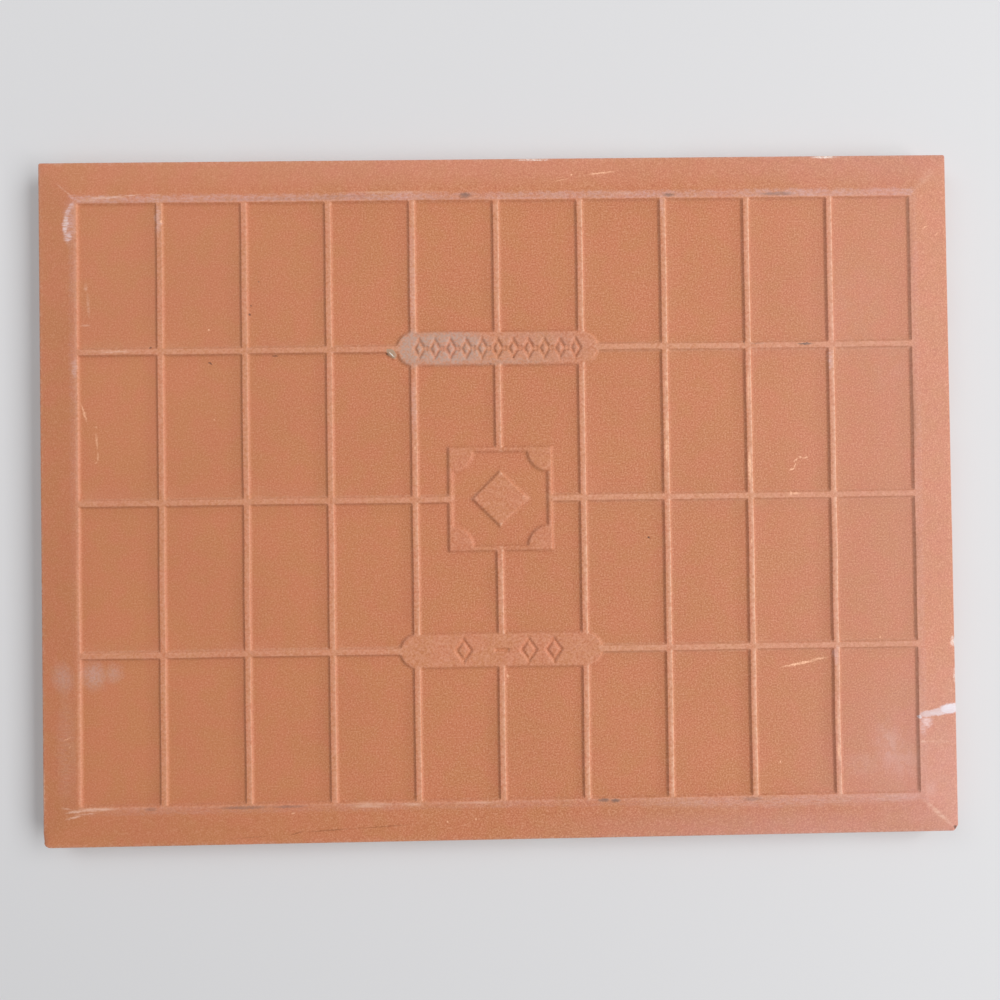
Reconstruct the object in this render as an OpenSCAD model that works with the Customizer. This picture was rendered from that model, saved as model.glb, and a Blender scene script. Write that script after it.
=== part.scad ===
/* [Tile] */
// Length of the tile
tile_len = 200; // [160:1:330]
// Width of the tile
tile_wid = 149.5; // [120:0.5:250]
// Thickness of the tile from the glazed face to the tops of the ribs
tile_thk = 7; // [5:0.1:12]
// Radius of the four upright corners
corner_r = 1.2; // [1.1:0.1:3]
// Radius of the arris round the glazed face
arris_r = 0.8; // [0.3:0.1:1]

/* [Border] */
// Distance from each short edge to the middle of the frame's ridge
border_x = 8.3; // [4:0.1:16]
// Distance from each long edge to the middle of the frame's ridge
border_y = 8.8; // [4:0.1:16]
// How far the border falls from the frame's ridge to the tile's edge
border_fall = 1; // [0.2:0.1:2]
// Width of the flat top of the frame's ridge
ridge_land = 0.8; // [0.5:0.05:2]

/* [Ribs] */
// Number of columns of cells along the length
cols = 10; // [4:2:16]
// Number of rows of cells across the width
rows = 4; // [4:2:8]
// Depth of the cells below the tops of the ribs
relief = 0.45; // [0.2:0.05:1.2]
// Width of the flat top of each rib
land = 1.05; // [0.5:0.05:2]
// How far each wall spreads from its top to the cell floor
draft = 0.5; // [0.1:0.05:1]

/* [Pads] */
// Width of the flat top of each pad
pad_wid = 6.9; // [4:0.1:10]

/* [Emblem] */
// Side of the square emblem, over the flat top of its rim
emblem_side = 22.2; // [18:0.1:28]
// Width of the flat top of the emblem's rim
emblem_rim = 0.55; // [0.4:0.05:2]
// Half diagonal of the lozenge in the emblem, over its flat top
lozenge_reach = 5.8; // [3:0.1:6]
// Radius of the quarter rounds in the emblem's corners, over their flat tops
quarter_r = 4.4; // [2:0.1:5]

/* [Hidden] */
$fn = 64;

// The cells' floor, and the level from which everything raised on it starts
floor_z = tile_thk - relief;
root_z = floor_z - relief;
// The ribs lie evenly between the ridges of the frame
grid_len = tile_len - 2 * border_x;
grid_wid = tile_wid - 2 * border_y;
pitch_x = grid_len / cols;
pitch_y = grid_wid / rows;
// Opening inside the emblem's rim, over the rim's flat top
field_side = emblem_side - 2 * emblem_rim;
// Cuts run this far past the faces that they open
over = 1;

// Section of the tile's edge, from a corner's centre out to the upright face
module edge_section() {
    intersection() {
        square([corner_r, tile_thk]);
        union() {
            square([corner_r - arris_r, tile_thk]);
            translate([0, arris_r])
                square([corner_r, tile_thk - arris_r]);
            translate([corner_r - arris_r, arris_r])
                circle(arris_r);
        }
    }
}

// A strip of the edge, run long, centred on X and facing +Y
module edge_strip(run) {
    translate([-run / 2, 0, 0])
        rotate([90, 0, 90])
            linear_extrude(run)
                edge_section();
}

// The flat plate with round corners and a soft arris below
module plate() {
    core_len = tile_len - 2 * corner_r;
    core_wid = tile_wid - 2 * corner_r;
    translate([-core_len / 2, -core_wid / 2, 0])
        cube([core_len, core_wid, tile_thk]);
    for (side = [0, 180])
        rotate([0, 0, side]) {
            translate([0, core_wid / 2, 0])
                edge_strip(core_len);
            translate([core_len / 2, 0, 0])
                rotate([0, 0, -90])
                    edge_strip(core_wid);
            translate([core_len / 2, core_wid / 2, 0])
                rotate_extrude(angle = 90)
                    edge_section();
            translate([-core_len / 2, core_wid / 2, 0])
                rotate([0, 0, 90])
                    rotate_extrude(angle = 90)
                        edge_section();
        }
}

// A prism along Y whose section is drawn in X and Z
module along_y(run, section) {
    translate([0, run / 2, 0])
        rotate([90, 0, 0])
            linear_extrude(run)
                polygon(section);
}

// A prism along X whose section is drawn in Y and Z
module along_x(run, section) {
    rotate([0, 0, 90])
        along_y(run, section);
}

// Section of the whole tile, flat over the ridge and falling to the edges
function roof(span, ridge) = [
    [-span / 2, 0],
    [span / 2, 0],
    [span / 2, tile_thk - border_fall],
    [ridge / 2, tile_thk],
    [-ridge / 2, tile_thk],
    [-span / 2, tile_thk - border_fall]
];

// Section of a block with drafted walls that stands on the cell floor
function raised(span) = [
    [-span / 2 - draft, root_z],
    [span / 2 + draft, root_z],
    [span / 2 + draft, floor_z],
    [span / 2, tile_thk],
    [-span / 2, tile_thk],
    [-span / 2 - draft, floor_z]
];

// Section of a recess with drafted walls, down to the cell floor
function sunk(span) = [
    [-span / 2, floor_z],
    [span / 2, floor_z],
    [span / 2 + draft, tile_thk],
    [span / 2 + draft, tile_thk + over],
    [-span / 2 - draft, tile_thk + over],
    [-span / 2 - draft, tile_thk]
];

// The four sloping faces of the border, mitred at the corners
module hipped_roof() {
    intersection() {
        along_y(tile_wid, roof(tile_len, grid_len + ridge_land));
        along_x(tile_len, roof(tile_wid, grid_wid + ridge_land));
    }
}

// A rectangular block standing on the cell floor
module block(len, wid) {
    intersection() {
        along_y(wid + 2 * draft, raised(len));
        along_x(len + 2 * draft, raised(wid));
    }
}

// A rectangular recess down to the cell floor
module recess(len, wid) {
    intersection() {
        along_y(wid + 2 * draft, sunk(len));
        along_x(len + 2 * draft, sunk(wid));
    }
}

// A round boss standing on the cell floor, r over its flat top
module boss(r) {
    translate([0, 0, floor_z])
        cylinder(h = relief, r1 = r + draft, r2 = r);
    translate([0, 0, root_z])
        cylinder(h = relief, r = r + draft);
}

// The grid of ribs, from frame to frame
module ribs() {
    for (col = [1 : cols - 1])
        translate([col * pitch_x - grid_len / 2, 0, 0])
            along_y(grid_wid, raised(land));
    for (row = [1 : rows - 1])
        translate([0, row * pitch_y - grid_wid / 2, 0])
            along_x(grid_len, raised(land));
}

// A pad with round ends that are centred on the ribs beside the middle one
module pad() {
    along_x(2 * pitch_x, raised(pad_wid));
    for (side = [-1, 1])
        translate([side * pitch_x, 0, 0])
            boss(pad_wid / 2);
}

// A lozenge, and a quarter round in each corner that runs into the emblem's rim
module motif() {
    lozenge_side = lozenge_reach * sqrt(2);
    rotate([0, 0, 45])
        block(lozenge_side, lozenge_side);
    intersection() {
        translate([-field_side / 2 - emblem_rim / 2, -field_side / 2 - emblem_rim / 2, root_z])
            cube([field_side + emblem_rim, field_side + emblem_rim, tile_thk - root_z]);
        for (sx = [-1, 1], sy = [-1, 1])
            translate([sx * field_side / 2, sy * field_side / 2, 0])
                boss(quarter_r);
    }
}

// The square emblem: a rim round a sunk field, with the motif raised in it
module emblem() {
    difference() {
        block(emblem_side, emblem_side);
        recess(field_side - 2 * draft, field_side - 2 * draft);
    }
    motif();
}

// The plate with its mitred border and the sunk bed that the cells share
module body() {
    difference() {
        intersection() {
            plate();
            hipped_roof();
        }
        recess(grid_len - ridge_land - 2 * draft, grid_wid - ridge_land - 2 * draft);
    }
}

// The pressed and fired tile, with its glazed face down
module tile() {
    color("#c98462")
        union() {
            body();
            difference() {
                ribs();
                recess(field_side - 2 * draft, field_side - 2 * draft);
            }
            for (side = [-1, 1])
                translate([0, side * pitch_y, 0])
                    pad();
            emblem();
        }
}

tile();
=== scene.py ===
# A pressed ceramic wall tile lying on its glazed face with the ribbed back up.
# Every size is in millimetres until the mesh is made.
import math

import bpy
import numpy as np
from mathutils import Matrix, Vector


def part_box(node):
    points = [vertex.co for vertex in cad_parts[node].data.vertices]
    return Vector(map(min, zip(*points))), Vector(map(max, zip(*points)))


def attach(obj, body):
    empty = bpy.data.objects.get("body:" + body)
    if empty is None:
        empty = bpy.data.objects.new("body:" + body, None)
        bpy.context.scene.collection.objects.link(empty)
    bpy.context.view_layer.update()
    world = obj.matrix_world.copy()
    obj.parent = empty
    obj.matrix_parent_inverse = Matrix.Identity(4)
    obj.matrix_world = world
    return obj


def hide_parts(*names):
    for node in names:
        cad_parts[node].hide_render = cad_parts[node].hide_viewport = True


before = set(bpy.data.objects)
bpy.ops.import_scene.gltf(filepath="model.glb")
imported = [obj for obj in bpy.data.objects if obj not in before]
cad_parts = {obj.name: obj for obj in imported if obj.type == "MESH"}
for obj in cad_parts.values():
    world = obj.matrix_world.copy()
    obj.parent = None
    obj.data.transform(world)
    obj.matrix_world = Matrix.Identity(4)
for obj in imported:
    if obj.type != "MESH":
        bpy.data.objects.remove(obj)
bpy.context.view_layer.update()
metre = 1000.0  # millimetres in a metre

lowCorner, highCorner = (np.round(np.array(corner) * metre, 3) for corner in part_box("tile"))
tileLength, tileWidth, tileThick = highCorner - lowCorner
print(f"tile: {tileLength} by {tileWidth} by {tileThick} mm")


def linesThrough(stops, step):
    # Every stop, and between two stops as many even steps as keep each one under the given step
    stops = np.unique(np.round(stops, 4))
    gaps = np.diff(stops)
    parts = np.maximum(np.ceil(gaps / step - 1e-6), 1).astype(int)
    number = np.arange(parts.sum()) - np.repeat(np.cumsum(parts) - parts, parts)
    lines = np.repeat(stops[:-1], parts) + number * np.repeat(gaps / parts, parts)
    return np.append(lines, stops[-1])


def gridQuads(xs, ys):
    # The four corners of every cell between the given lines, anticlockwise from above
    x, y = np.meshgrid(xs, ys)
    points = np.stack([x, y], -1)
    return np.stack([points[:-1, :-1], points[:-1, 1:], points[1:, 1:], points[1:, :-1]], 2)


def sidesOf(xs, ys):
    # The four sides of a rectangle of lines, one after another anticlockwise
    south = np.stack([xs, np.full(len(xs), ys[0])], -1)
    east = np.stack([np.full(len(ys), xs[-1]), ys], -1)
    north = np.stack([xs[::-1], np.full(len(xs), ys[-1])], -1)
    west = np.stack([np.full(len(ys), xs[0]), ys[::-1]], -1)
    return [south, east, north, west]


def alongLine(points):
    # How far each point is along its line, from 0 to 1
    steps = np.linalg.norm(np.diff(points, axis=0), axis=1)
    run = np.append(0, np.cumsum(steps))
    return run / run[-1]


def zipLines(right, left):
    # Triangles between two lines that run side by side with different numbers of points: each
    # piece of one line is joined to the point of the other that its middle is nearest to
    rightAt, leftAt = alongLine(right), alongLine(left)
    leftMiddles = (leftAt[1:] + leftAt[:-1]) / 2
    nearest = np.searchsorted(leftMiddles, (rightAt[1:] + rightAt[:-1]) / 2)
    turned = np.searchsorted(nearest, np.arange(len(left) - 1), side="right")
    onRight = np.stack([right[:-1], right[1:], left[nearest]], 1)
    onLeft = np.stack([left[1:], left[:-1], right[turned]], 1)
    return np.concatenate([onRight, onLeft])


def softMin(a, b, reach):
    # The lower of two distances, less a quarter of reach where they are equal
    near = np.clip(1 - np.abs(a - b) / reach, 0, 1)
    return np.minimum(a, b) - near * near * reach / 4


def smoothStep(value, start, end):
    # 0 up to start and 1 from end on, and between them three times t squared less twice t cubed
    t = np.clip((value - start) / (end - start), 0, 1)
    return t * t * (3 - 2 * t)


def boxDistance(x, y, halfX, halfY, radius=0.0):
    # Distance to a rectangle's edge, negative inside it, with its corners rounded by radius
    outX = np.abs(x) - halfX + radius
    outY = np.abs(y) - halfY + radius
    outside = np.hypot(np.maximum(outX, 0), np.maximum(outY, 0))
    return outside + np.minimum(np.maximum(outX, outY), 0) - radius


def rollingNoise(x, y, wave, seed):
    # Nine sine waves of about the given length, each with its own heading and phase, added up and
    # brought to between -1 and 1 in most places
    draw = np.random.default_rng(seed)
    total = np.zeros(np.broadcast(x, y).shape)
    for heading, stretch, phase in zip(
        draw.uniform(0, math.tau, 9), draw.uniform(0.6, 1.6, 9), draw.uniform(0, math.tau, 9)
    ):
        across = x * math.cos(heading) + y * math.sin(heading)
        total += np.sin(across * math.tau / (wave * stretch) + phase)
    return total / 4.2


tileForm = {
    "columns": 10,
    "rows": 4,
    "borderX": 8.3,  # edge to the middle of the frame's ridge
    "borderY": 8.8,
    "borderFall": 1.0,
    "relief": 0.45,
    "ridgeLand": 0.8,  # flat top of the frame's ridge
    "land": 1.05,  # flat top of a rib
    "draft": 0.5,
    "wallStart": 0.02,
    "wallRunOut": 0.25,  # how far past its draft a wall runs out on the floor
    "wallPower": 2.2,
    "fillet": 0.5,  # where two walls meet in a cell's corner
    "backArris": 0.25,
    "faceArris": 0.8,
    "cornerRadii": ((1.6, 0.5), (0.9, 0.5)),  # west then east, south before north
    "padWidth": 6.9,
    "emblemSide": 22.2,
    "emblemRim": 0.55,
    "emblemSoft": 0.3,  # how far its corners are rounded
    "emblemShift": 0.25,  # how far the emblem's insert sits to the east in the die
    "lozengeReach": 5.8,
    "quarterRadius": 4.4,
    "dieShift": (0.02, -0.25),  # how far off centre the die was set
    "dieTurn": -0.0007,  # and how far askew, in radians
    "ribWander": 0.05,
    "unevenness": 0.025,
}
gridX = tileLength / 2 - tileForm["borderX"]
gridY = tileWidth / 2 - tileForm["borderY"]
pitchX = 2 * gridX / tileForm["columns"]
pitchY = 2 * gridY / tileForm["rows"]
land, draft, relief = tileForm["land"], tileForm["draft"], tileForm["relief"]
ridgeLand = tileForm["ridgeLand"]
dieX, dieY = tileForm["dieShift"]

padMarks = {
    "depth": 0.36,
    "halfFloor": 0.06,  # of a sunk line
    "halfStroke": 0.572,  # to the ends of its soft shoulders
    "chain": 11,
    "chainPitch": 3.42,
    "link": (1.05, 1.75),  # half widths of a lozenge's middle line
    "dotRadius": 0.22,
    "lower": (-8.3, 5.9, 11.4),  # lozenges on the lower pad, with a dash between
    "lowerLink": (1.6, 2.25),
    "dash": (-1.2, 1.3),
}

damage = {
    "chips": (  # centre, radius and depth of each
        (99.9, -74.5, 0.9, 0.5),
        (100.0, -33.2, 0.9, 0.3),
        (100.1, -40.3, 0.7, 0.25),
        (-99.9, -72.9, 1.0, 0.3),
    ),
    "crumb": (-23.1, 31.8, 1.5, 0.85, -45.0, 0.5),  # centre, half sizes, turn and height
}


def ribDistances(x, y):
    # Distance from the flat top of the nearest short and of the nearest long rib, from the nearest
    # lines of the lattice
    lastColumn, lastRow = tileForm["columns"] / 2, tileForm["rows"] / 2
    column = np.clip(np.round(x / pitchX), -lastColumn, lastColumn)
    row = np.clip(np.round(y / pitchY), -lastRow, lastRow)
    toColumn = np.abs(x - column * pitchX) - np.where(np.abs(column) == lastColumn, ridgeLand, land) / 2
    toRow = np.abs(y - row * pitchY) - np.where(np.abs(row) == lastRow, ridgeLand, land) / 2
    return toColumn, toRow


def lozengeDistance(x, y, reachX, reachY):
    # Distance to the sides of a lozenge with these half diagonals
    return (np.abs(x) / reachX + np.abs(y) / reachY - 1) * reachX * reachY / math.hypot(reachX, reachY)


def raisedDistance(x, y):
    # Distance from the flat top of whatever stands on the cell floor: ribs, pads, emblem, motif
    padRadius = tileForm["padWidth"] / 2
    pad = np.hypot(np.maximum(np.abs(x) - pitchX, 0), np.abs(y) - pitchY) - padRadius
    raised = softMin(softMin(*ribDistances(x, y), tileForm["fillet"]), pad, tileForm["fillet"])
    half, rim = tileForm["emblemSide"] / 2, tileForm["emblemRim"]
    field = half - rim
    x = x - tileForm["emblemShift"]
    raised = softMin(raised, boxDistance(x, y, half, half), tileForm["fillet"])
    raised = np.maximum(raised, -boxDistance(x, y, field, field, tileForm["emblemSoft"]))
    lozenge = lozengeDistance(x, y, tileForm["lozengeReach"], tileForm["lozengeReach"])
    quarter = np.hypot(np.abs(x) - field, np.abs(y) - field) - tileForm["quarterRadius"]
    quarter = np.maximum(quarter, boxDistance(x, y, field + rim / 2, field + rim / 2))
    return softMin(np.minimum(raised, lozenge), quarter, tileForm["emblemSoft"])


def markDistance(x, y):
    # Distance from the middle of the nearest sunk line or dot on the pads
    span = (padMarks["chain"] - 1) / 2
    step = padMarks["chainPitch"]
    fromPad = y - pitchY
    link = np.clip(np.round(x / step), -span, span) * step
    chain = np.abs(lozengeDistance(x - link, fromPad, *padMarks["link"]))
    gap = (np.clip(np.round(x / step - 0.5), -span, span - 1) + 0.5) * step
    dots = np.hypot(x - gap, fromPad) - padMarks["dotRadius"]
    nearest = np.minimum(chain, np.maximum(dots, 0))
    fromPad = y + pitchY
    for centre in padMarks["lower"]:
        link = np.abs(lozengeDistance(x - centre, fromPad, *padMarks["lowerLink"]))
        nearest = np.minimum(nearest, link)
    start, end = padMarks["dash"]
    return np.minimum(nearest, np.hypot(x - np.clip(x, start, end), fromPad))


def grooveDepth(x, y):
    # 1 along the middle of a sunk line and 0 beyond its shoulders
    return 1 - smoothStep(markDistance(x, y), padMarks["halfFloor"], padMarks["halfStroke"])


def wallHeight(distance):
    # 1 on a flat top and 0 on the floor: steep below the top and running out on the floor, as one
    # less how far down the wall a point is, to the wall's power
    t = np.clip((distance - tileForm["wallStart"]) / (draft + tileForm["wallRunOut"]), 0, 1)
    return (1 - t) ** tileForm["wallPower"]


def wandered(x, y):
    # Where a point lies on the die, which sits off centre and a little askew, and from which the
    # clay has strayed as it dried
    amount, turn = tileForm["ribWander"], tileForm["dieTurn"]
    strayX = amount * rollingNoise(x * 0.3, y, wave=23, seed=3)
    strayY = amount * rollingNoise(x, y * 0.3, wave=27, seed=4)
    return x - dieX + turn * y + strayX, y - dieY - turn * x + strayY


def borderFall(x, y):
    # 0 on the ridge to 1 at the tile's edge, the larger of the two slopes, so corners are mitred
    slopeX = (np.abs(x) - gridX - ridgeLand / 2) / (tileForm["borderX"] - ridgeLand / 2)
    slopeY = (np.abs(y) - gridY - ridgeLand / 2) / (tileForm["borderY"] - ridgeLand / 2)
    steepest = -softMin(-slopeX, -slopeY, 0.03)
    return -softMin(-steepest, 0, 0.06)


def cornerRadius(x, y):
    # Each quarter of the tile has its own corner radius
    (westSouth, westNorth), (eastSouth, eastNorth) = tileForm["cornerRadii"]
    west = np.where(y < 0, westSouth, westNorth)
    return np.where(x < 0, west, np.where(y < 0, eastSouth, eastNorth))


def edgeDistance(x, y):
    # How far inside the tile's outline a point lies
    return -boxDistance(x, y, tileLength / 2, tileWidth / 2, cornerRadius(x, y))


def chipDepth(x, y):
    # The deepest of the chips, each a ragged bowl: one less the square of distance over radius
    deepest = np.zeros(np.broadcast(x, y).shape)
    for middleX, middleY, radius, depth in damage["chips"]:
        rag = 0.2 * rollingNoise(x, y, wave=1.1, seed=6)
        away = np.hypot(x - middleX, y - middleY) / radius + rag
        deepest = np.maximum(deepest, depth * np.clip(1 - away * away, 0, 1))
    return deepest


def crumbHeight(x, y):
    # A crumb of clay stuck in a cell: an oval dome, turned, with lumps
    middleX, middleY, halfLong, halfWide, turn, height = damage["crumb"]
    c, s = math.cos(math.radians(turn)), math.sin(math.radians(turn))
    along = ((x - middleX) * c + (y - middleY) * s) / halfLong
    across = ((y - middleY) * c - (x - middleX) * s) / halfWide
    away = np.hypot(along, across) + 0.18 * rollingNoise(x, y, wave=1.0, seed=9)
    lumps = 1 + 0.2 * rollingNoise(x, y, wave=0.8, seed=10)
    return height * np.sqrt(np.clip(1 - away * away, 0, 1)) * lumps


def backHeight(x, y):
    # Top level, less the relief away from raised forms, the border's fall, the edge's round, the
    # sunk marks, the chips and a slow unevenness that only ever lowers, and then the crumb
    dx, dy = wandered(x, y)
    inside = np.maximum(np.abs(dx) - gridX, np.abs(dy) - gridY) < 0
    raised = np.where(inside, wallHeight(raisedDistance(dx, dy)), 1)
    z = tileThick - relief * (1 - raised) - tileForm["borderFall"] * borderFall(dx, dy)
    z = z - padMarks["depth"] * grooveDepth(dx, dy)
    arris = tileForm["backArris"]
    into = np.clip(1 - edgeDistance(x, y) / arris, 0, 1)
    z = z - arris * (1 - np.sqrt(1 - into * into)) - chipDepth(x, y)
    uneven = np.clip(rollingNoise(x, y, wave=13, seed=5), -1, 1)
    z = z - tileForm["unevenness"] * (1 + uneven) / 2
    return np.minimum(z + crumbHeight(x, y), tileThick)


def roundCorners(x, y):
    # Square corners of the grid drawn in to quarter circles: u by the root of 1 - v*v/2
    radius = cornerRadius(x, y)
    farX, farY = tileLength / 2 - radius, tileWidth / 2 - radius
    u = np.clip((np.abs(x) - farX) / radius, 0, 1)
    v = np.clip((np.abs(y) - farY) / radius, 0, 1)
    newX = np.minimum(np.abs(x), farX) + radius * u * np.sqrt(1 - v * v / 2)
    newY = np.minimum(np.abs(y), farY) + radius * v * np.sqrt(1 - u * u / 2)
    return np.copysign(newX, x), np.copysign(newY, y)


def liftBack(points):
    # Flat points of the grid as points of the tile's back
    x, y = roundCorners(points[..., 0], points[..., 1])
    return np.stack([x, y, backHeight(x, y)], -1)


meshPlan = {
    "ribOffsets": (0.36, 0.42, 0.5, 0.56, 0.64, 0.73, 0.83, 0.94, 1.06, 1.3),  # from a rib's middle
    "edgeOffsets": (0, 0.05, 0.15, 0.35, 0.7, 1.1, 1.5, 3.2, 5.2),  # inwards from the tile's edge
    "openStep": 3.2,
    "fineStep": 0.24,
    "padWindow": (25.4, 4.9),  # half sizes of the finely meshed windows
    "emblemWindow": 12.9,
    "sideLevels": (5.0, 3.8, 2.6, 1.5),
    "arrisSteps": 4,
    "faceMargin": 0.4,
    "faceInset": 6.0,
    "faceStep": 5.0,
    "sideRough": 0.02,
}


def backLines(shift, pitch, count, far, windows):
    # Lines across one axis: close together over each rib and at the edges, sparse between
    offsets = np.array(meshPlan["ribOffsets"])
    centres = (np.arange(count + 1) - count / 2) * pitch + shift
    overRibs = np.add.outer(centres, np.append(-offsets, offsets)).ravel()
    edges = far - np.array(meshPlan["edgeOffsets"])
    stops = np.concatenate([overRibs, edges, -edges, windows])
    return linesThrough(stops[np.abs(stops) <= far], meshPlan["openStep"])


def backFaces():
    # A sparse grid with three windows of fine grid, zipped together round each window
    padX, padY = meshPlan["padWindow"]
    box = meshPlan["emblemWindow"]
    middles = [side * pitchY + dieY for side in (-1, 1)]
    windows = [(-padX, padX, middle - padY, middle + padY) for middle in middles]
    windows.append((-box, box, dieY - box, dieY + box))
    stopsX = np.array([w[:2] for w in windows]).ravel()
    stopsY = np.array([w[2:] for w in windows]).ravel()
    xs = backLines(dieX, pitchX, tileForm["columns"], tileLength / 2, stopsX)
    ys = backLines(dieY, pitchY, tileForm["rows"], tileWidth / 2, stopsY)
    quads = gridQuads(xs, ys)
    keep = np.ones(quads.shape[:2], bool)
    fine, seams = [], []
    for x0, x1, y0, y1 in windows:
        i0, i1 = np.searchsorted(xs, [x0 - 1e-3, x1 - 1e-3])
        j0, j1 = np.searchsorted(ys, [y0 - 1e-3, y1 - 1e-3])
        keep[j0 - 1:j1 + 1, i0:i1] = False
        keep[j0:j1, i0 - 1:i1 + 1] = False
        fineX = linesThrough(xs[i0:i1 + 1], meshPlan["fineStep"])
        fineY = linesThrough(ys[j0:j1 + 1], meshPlan["fineStep"])
        fine.append(gridQuads(fineX, fineY).reshape(-1, 4, 2))
        inner = sidesOf(fineX, fineY)
        outer = [
            sidesOf(xs[i0:i1 + 1], ys[[j0 - 1, j1]])[0],
            sidesOf(xs[[i0, i1 + 1]], ys[j0:j1 + 1])[1],
            sidesOf(xs[i0:i1 + 1], ys[[j0, j1 + 1]])[2],
            sidesOf(xs[[i0 - 1, i1]], ys[j0:j1 + 1])[3],
        ]
        seams += [zipLines(out, inn) for out, inn in zip(outer, inner)]
    return np.concatenate([quads[keep]] + fine), np.concatenate(seams), sidesOf(xs, ys)


def sideRings(ring):
    # The rim carried down: straight side with a slight roughness, a quarter round to the face and
    # a narrow level margin. Each step inwards shrinks the whole line, so that no corner folds over.
    radius = tileForm["faceArris"]
    turn = np.linspace(0, math.pi / 2, meshPlan["arrisSteps"] + 1)
    inset = np.concatenate([np.zeros(len(meshPlan["sideLevels"])), radius * (1 - np.cos(turn))])
    inset = np.append(inset, radius + meshPlan["faceMargin"])
    levels = np.concatenate([meshPlan["sideLevels"], radius * (1 - np.sin(turn)), [0]])
    along, down = ring[None, :, 0] + ring[None, :, 1], levels[:, None] * 3
    rough = meshPlan["sideRough"] * (1 + rollingNoise(along, down, wave=4, seed=8))
    rough[levels <= radius] = 0.0
    inset = (inset[:, None] + np.clip(rough, 0, 3 * meshPlan["sideRough"]))[..., None]
    flat = ring[None, :, :2] * (1 - inset / np.array([tileLength / 2, tileWidth / 2]))
    depth = np.broadcast_to(levels[:, None, None], flat.shape[:2] + (1,))
    return np.concatenate([ring[None], np.concatenate([flat, depth], -1)])


def makeTileFaces():
    # The lifted back, quads between the rings down the sides, and the face as a level grid zipped
    # to the last ring
    quads, triangles, sides = backFaces()
    rings = sideRings(liftBack(np.concatenate([side[:-1] for side in sides])))
    nextOn = np.roll(rings, -1, 1)
    walls = np.stack([rings[1:], nextOn[1:], nextOn[:-1], rings[:-1]], 2)
    reach = np.array([tileLength / 2, tileWidth / 2]) - meshPlan["faceInset"]
    faceX, faceY = (linesThrough([-far, far], meshPlan["faceStep"]) for far in reach)
    last = np.append(rings[-1], rings[-1][:1], 0)
    starts = np.cumsum([0] + [len(side) - 1 for side in sides])
    faceSides = sidesOf(faceX, faceY)
    hems = [zipLines(last[a:b + 1, :2], side) for a, b, side in zip(starts[:-1], starts[1:], faceSides)]
    faceQuads = gridQuads(faceX, faceY).reshape(-1, 4, 2)[:, ::-1]
    faceTriangles = np.concatenate(hems)[:, ::-1]
    return {
        "back": (liftBack(quads), liftBack(triangles)),
        "walls": walls,
        "face": (withLevel(faceQuads), withLevel(faceTriangles)),
        "wallStarts": starts,
    }


def withLevel(points):
    # The glazed face lies flat on the floor
    return np.concatenate([points, np.zeros(points.shape[:-1] + (1,))], -1)


# The flat map of the whole skin: its side, the gaps, the width of a side's strip and of its last row
sheet = {"side": 312.0, "gap": 4.0, "strip": 11.0, "lastRow": 0.15}


def flatMap(faces):
    # The back with the face above it, each as seen from outside, and the sides as strips beside
    # them, by how far down and how far along its side a point lies
    gap = sheet["gap"]
    corner = np.array([tileLength, tileWidth]) / 2 + gap
    backQuads, backTriangles = (part[..., :2] + corner for part in faces["back"])
    above = corner + [0, tileWidth + gap]
    faceQuads, faceTriangles = (part[..., :2] * [-1, 1] + above for part in faces["face"])
    walls, starts = faces["walls"], faces["wallStarts"]
    step = np.linalg.norm(np.diff(walls[:, :, 0], axis=0), axis=2)
    down = np.concatenate([np.zeros((1, walls.shape[1])), np.cumsum(step, 0)])
    length = np.linalg.norm(walls[0, :, 1] - walls[0, :, 0], axis=1)
    side = np.searchsorted(starts, np.arange(walls.shape[1]), side="right") - 1
    begin = np.append(0, np.cumsum(length))
    along = begin[:-1] - begin[starts[side]] + gap
    left = tileLength + 2 * gap + side * sheet["strip"]
    below = np.concatenate([down[1:], down[-1:] + sheet["lastRow"]])
    wallMap = np.empty(walls.shape[:3] + (2,))
    wallMap[:, :, (0, 1), 0] = (left + below)[..., None]
    wallMap[:, :, (2, 3), 0] = (left + down)[..., None]
    wallMap[:, :, (0, 3), 1] = along[None, :, None]
    wallMap[:, :, (1, 2), 1] = (along + length)[None, :, None]
    parts = [backQuads, wallMap.reshape(-1, 4, 2), faceQuads, backTriangles, faceTriangles]
    return np.concatenate([part.reshape(-1, 2) for part in parts]) / sheet["side"]


clayZones = (-101.0, -79.0, -12.0, 50.0, 101.0)  # each length of the tile has its own wear


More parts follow.
